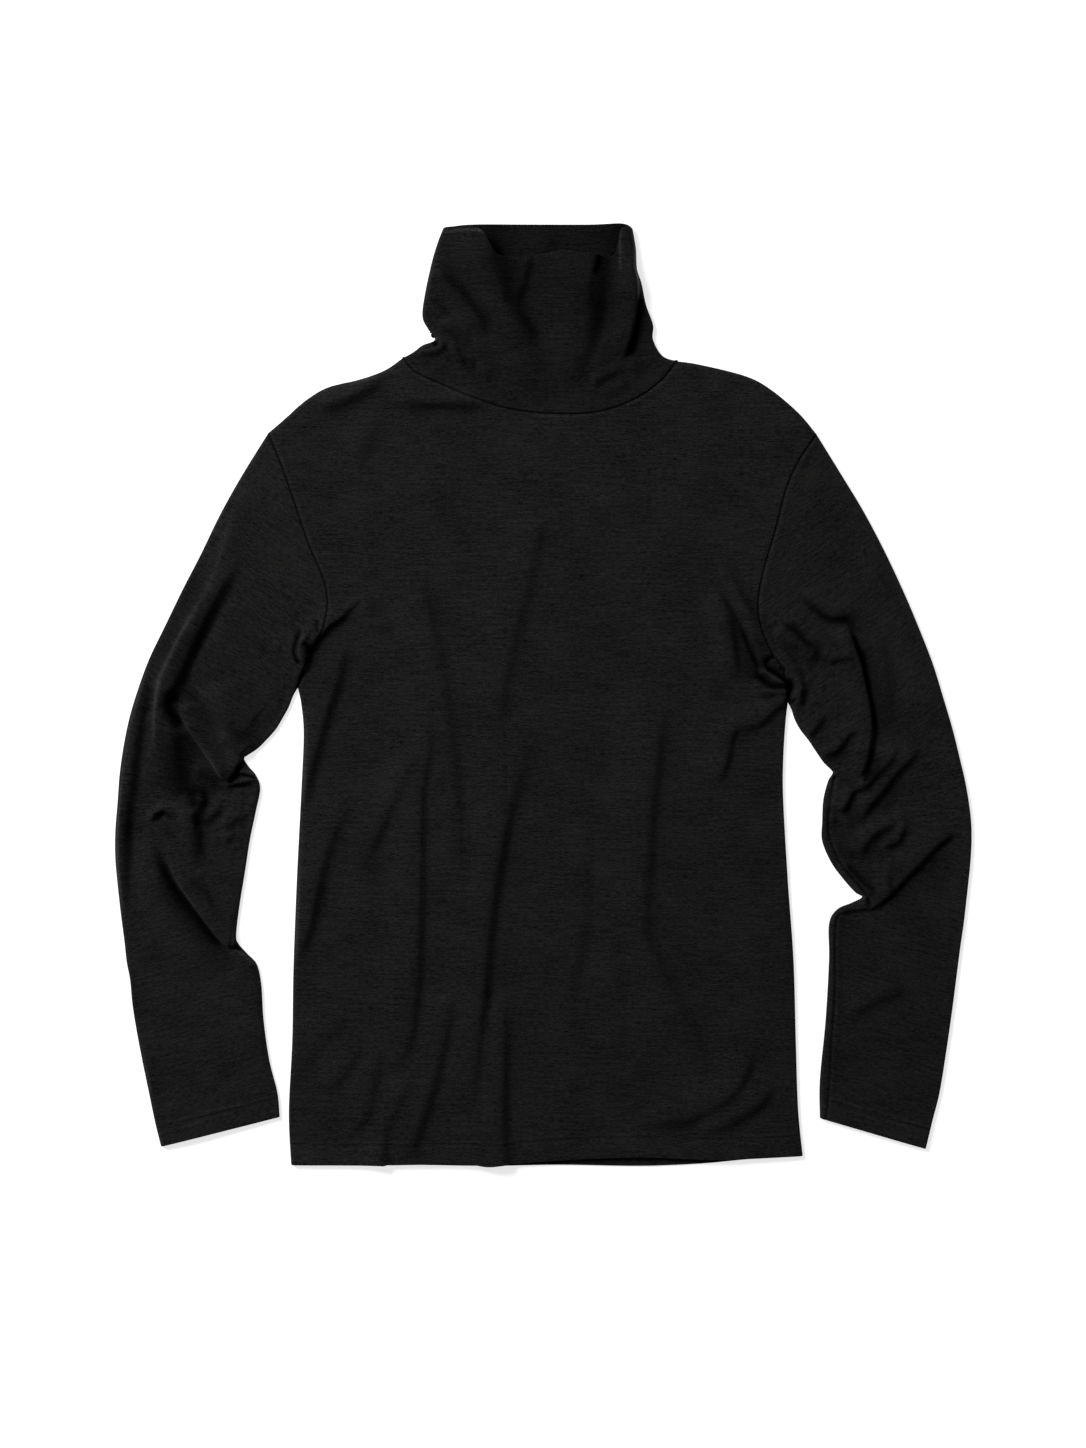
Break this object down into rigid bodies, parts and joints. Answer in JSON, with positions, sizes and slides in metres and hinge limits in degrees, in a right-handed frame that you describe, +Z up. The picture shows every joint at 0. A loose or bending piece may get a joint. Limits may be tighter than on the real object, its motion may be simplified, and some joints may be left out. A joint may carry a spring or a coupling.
{
  "type": "turtleneck sweater",
  "caption": "Fine-knit turtleneck sweater laid flat, with a tall soft roll collar, long sleeves bent at the elbow and long soft folds down the front.",
  "frame": {"origin": "middle of the sweater's extent, on the surface that it lies on", "axes": "+X to the viewer's right, +Y from hem to collar, +Z up from the surface, out of the sweater's front"},
  "size_m": [0.75, 0.824, 0.0184],
  "materials": {
    "jersey": "black heathered fine jersey, matt with a faint sheen"
  },
  "bodies": {
    "root": {"front": "jersey", "back": "jersey", "sleeve_left": "jersey", "sleeve_right": "jersey", "collar": "jersey"}
  },
  "joints": []
}
